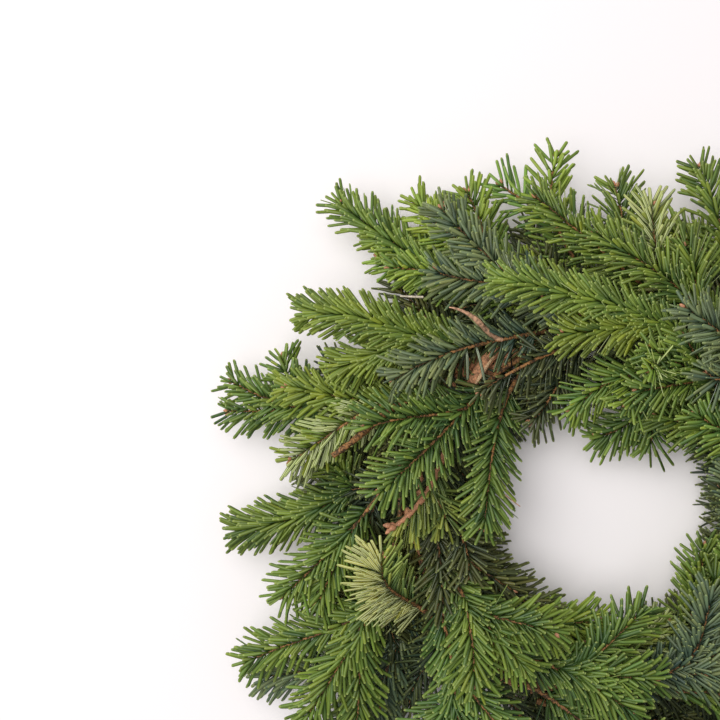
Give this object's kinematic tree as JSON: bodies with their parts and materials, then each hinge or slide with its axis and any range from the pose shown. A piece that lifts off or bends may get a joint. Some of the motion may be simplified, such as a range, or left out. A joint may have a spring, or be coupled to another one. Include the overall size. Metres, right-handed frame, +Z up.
{
  "type": "fresh evergreen wreath",
  "caption": "Round wreath of overlapping fresh fir sprays, bound with wire to a ring of twisted willow rods, for a door, wall or table.",
  "frame": {"origin": "centre of the base of the wreath's bounding box, on the surface that it lies on", "axes": "+Z up from that surface, along the axis of the wreath's hole; +Y towards the top of the picture, +X to its right"},
  "size_m": [0.5358, 0.529, 0.0946],
  "materials": {
    "willow_bark": "dry reddish-brown bark",
    "binding_wire": "dark annealed florist's wire",
    "fir_green": "fresh mid-green needles, waxy",
    "fir_blue": "fresh blue-green needles, waxy",
    "fir_lime": "young yellow-green needles",
    "fir_pale": "needles turned to show their silver-banded undersides",
    "fir_dark": "dark green inner needles"
  },
  "bodies": {
    "root": {"willow_rod_1": "willow_bark", "willow_rod_2": "willow_bark", "willow_rod_3": "willow_bark", "binding_wire": "binding_wire", "fir_spray_01": "fir_green", "fir_spray_02": "fir_lime", "fir_spray_03": "fir_blue", "fir_spray_04": "fir_lime", "fir_spray_05": "fir_green", "fir_spray_06": "fir_pale", "fir_spray_07": "fir_green", "fir_spray_08": "fir_green", "fir_spray_09": "fir_green", "fir_spray_10": "fir_blue", "fir_spray_11": "fir_lime", "fir_spray_12": "fir_green", "fir_spray_13": "fir_dark", "fir_spray_14": "fir_green", "fir_spray_15": "fir_lime", "fir_spray_16": "fir_green", "fir_spray_17": "fir_blue", "fir_spray_18": "fir_green", "fir_spray_19": "fir_green", "fir_spray_20": "fir_green", "fir_spray_21": "fir_green", "fir_spray_22": "fir_pale", "fir_spray_23": "fir_green", "fir_spray_24": "fir_green", "fir_spray_25": "fir_pale", "fir_spray_26": "fir_dark", "fir_spray_27": "fir_dark", "fir_spray_28": "fir_green", "fir_spray_29": "fir_dark", "fir_spray_30": "fir_dark", "fir_spray_31": "fir_dark", "fir_spray_32": "fir_green", "fir_spray_33": "fir_blue", "fir_spray_34": "fir_green", "fir_spray_35": "fir_lime", "fir_spray_36": "fir_green", "fir_spray_37": "fir_dark", "fir_spray_38": "fir_green", "fir_spray_39": "fir_pale", "fir_spray_40": "fir_green", "fir_spray_41": "fir_blue", "fir_spray_42": "fir_green", "fir_spray_43": "fir_lime", "fir_spray_44": "fir_green", "fir_spray_45": "fir_dark", "fir_spray_46": "fir_green", "fir_spray_47": "fir_pale", "fir_spray_48": "fir_green", "fir_spray_49": "fir_blue", "fir_spray_50": "fir_green", "fir_spray_51": "fir_lime", "fir_spray_52": "fir_green", "fir_spray_53": "fir_dark", "fir_spray_54": "fir_green", "fir_spray_55": "fir_pale", "fir_spray_56": "fir_green"}
  },
  "joints": []
}
